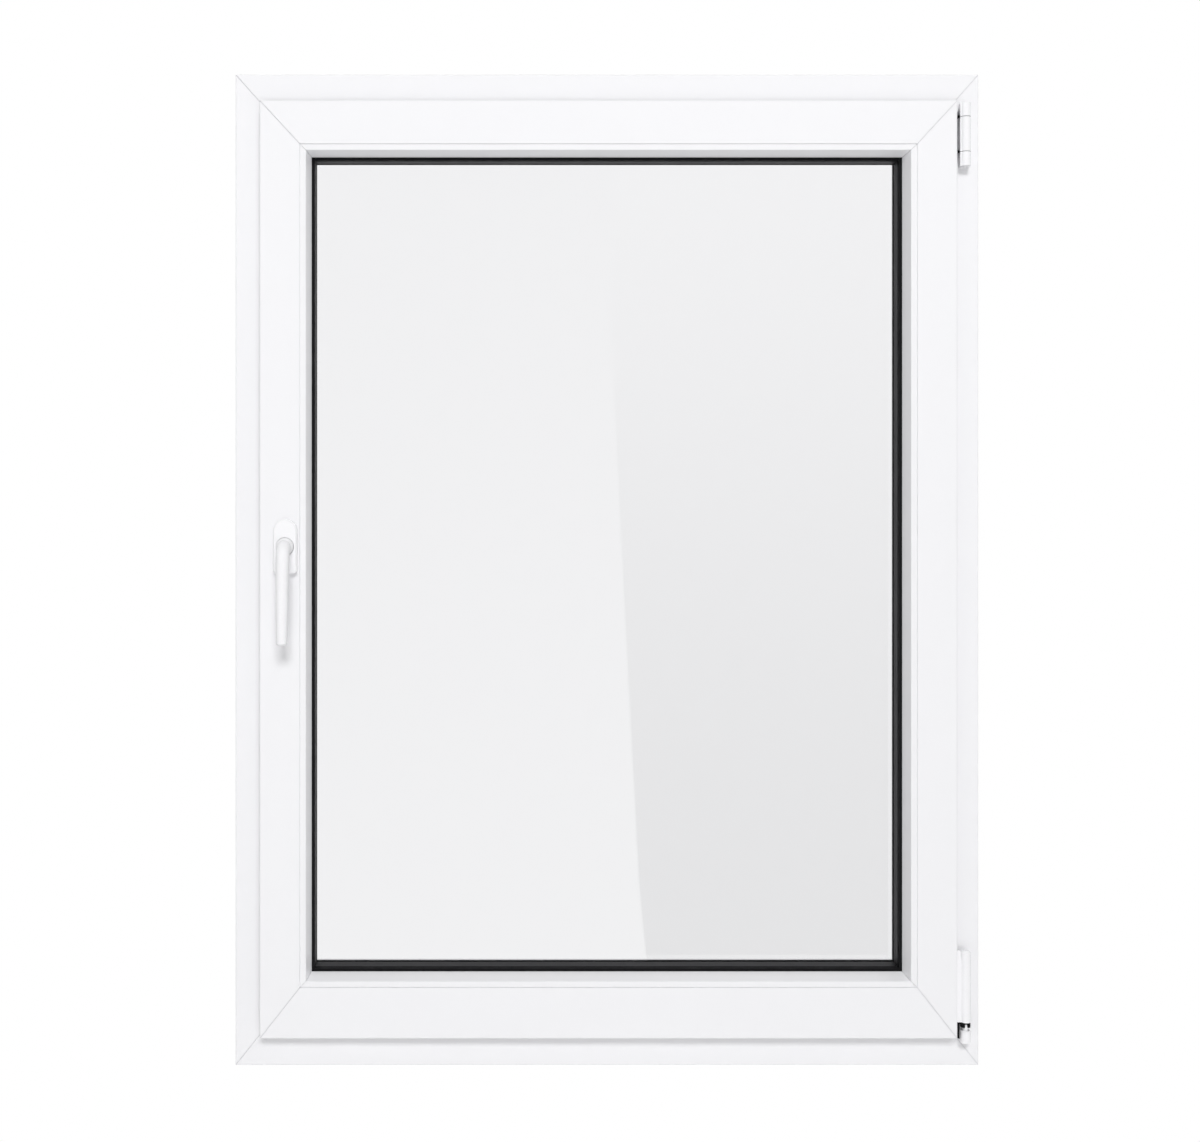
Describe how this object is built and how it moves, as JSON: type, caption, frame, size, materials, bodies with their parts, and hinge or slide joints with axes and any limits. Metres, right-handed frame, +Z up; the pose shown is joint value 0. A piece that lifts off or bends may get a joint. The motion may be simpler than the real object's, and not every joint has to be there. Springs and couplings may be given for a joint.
{
  "type": "tilt and turn window",
  "caption": "White single-sash tilt and turn window with double glazing, a lever handle and hinges on the right, seen closed from the room side.",
  "frame": {"origin": "centre of the flat bottom face of the outer frame, where the window stands on its sill", "axes": "+X right as seen from the room, -Y into the room, +Y outdoors, +Z up"},
  "size_m": [0.9, 0.1365, 1.2],
  "materials": {
    "plastic": "satin white",
    "rubber": "matt black",
    "glass": "clear",
    "spacer": "matt black",
    "steel": "galvanized",
    "white_metal": "satin white"
  },
  "bodies": {
    "frame": {"frame_left_jamb": "plastic", "frame_right_jamb": "plastic", "frame_head": "plastic", "frame_bottom_bar": "plastic", "frame_seal": "rubber", "lock_keeps": "steel", "stay_bearing": "white_metal", "corner_bearing": "white_metal", "drain_caps": "plastic"},
    "hinge_pin": {"stay_pin": "steel"},
    "sash": {"sash_left_stile": "plastic", "sash_right_stile": "plastic", "sash_top_rail": "plastic", "sash_bottom_rail": "plastic", "left_glazing_bead": "plastic", "right_glazing_bead": "plastic", "top_glazing_bead": "plastic", "bottom_glazing_bead": "plastic", "left_faceplate": "steel", "right_faceplate": "steel", "top_faceplate": "steel", "bottom_faceplate": "steel", "sash_seal": "rubber", "inner_pane": "glass", "outer_pane": "glass", "glass_spacer": "spacer", "inner_gasket": "rubber", "outer_gasket": "rubber", "lock_cams": "steel", "corner_hinge": "white_metal", "corner_hinge_cap": "white_metal", "handle_rosette": "white_metal", "pivot_pin": "steel"},
    "stay": {"stay_arm": "steel", "stay_cover": "white_metal"},
    "handle": {"handle_lever": "white_metal", "handle_spindle": "steel"}
  },
  "joints": [
    {"name": "sash_turn", "type": "hinge", "parent": "frame", "child": "hinge_pin", "pos_m": [0.4305, -0.045, 0.042], "axis": [0, 0, 1], "range_deg": [0, 90]},
    {"name": "sash_tilt", "type": "hinge", "parent": "hinge_pin", "child": "sash", "pos_m": [0.4305, -0.045, 0.042], "axis": [-1, 0, 0], "range_deg": [-6.5, 0]},
    {"name": "handle_turn", "type": "hinge", "parent": "sash", "child": "handle", "pos_m": [-0.3865, -0.055, 0.63], "axis": [0, 1, 0], "range_deg": [-180, 0]},
    {"name": "stay_swing", "type": "hinge", "parent": "hinge_pin", "child": "stay", "pos_m": [0.4305, -0.045, 1.125], "axis": [0, 0, 1], "range_deg": [0, 19]}
  ],
  "couplings": [
    {"joint": "stay_swing", "follows": "sash_tilt", "ratio": -2.9185}
  ]
}
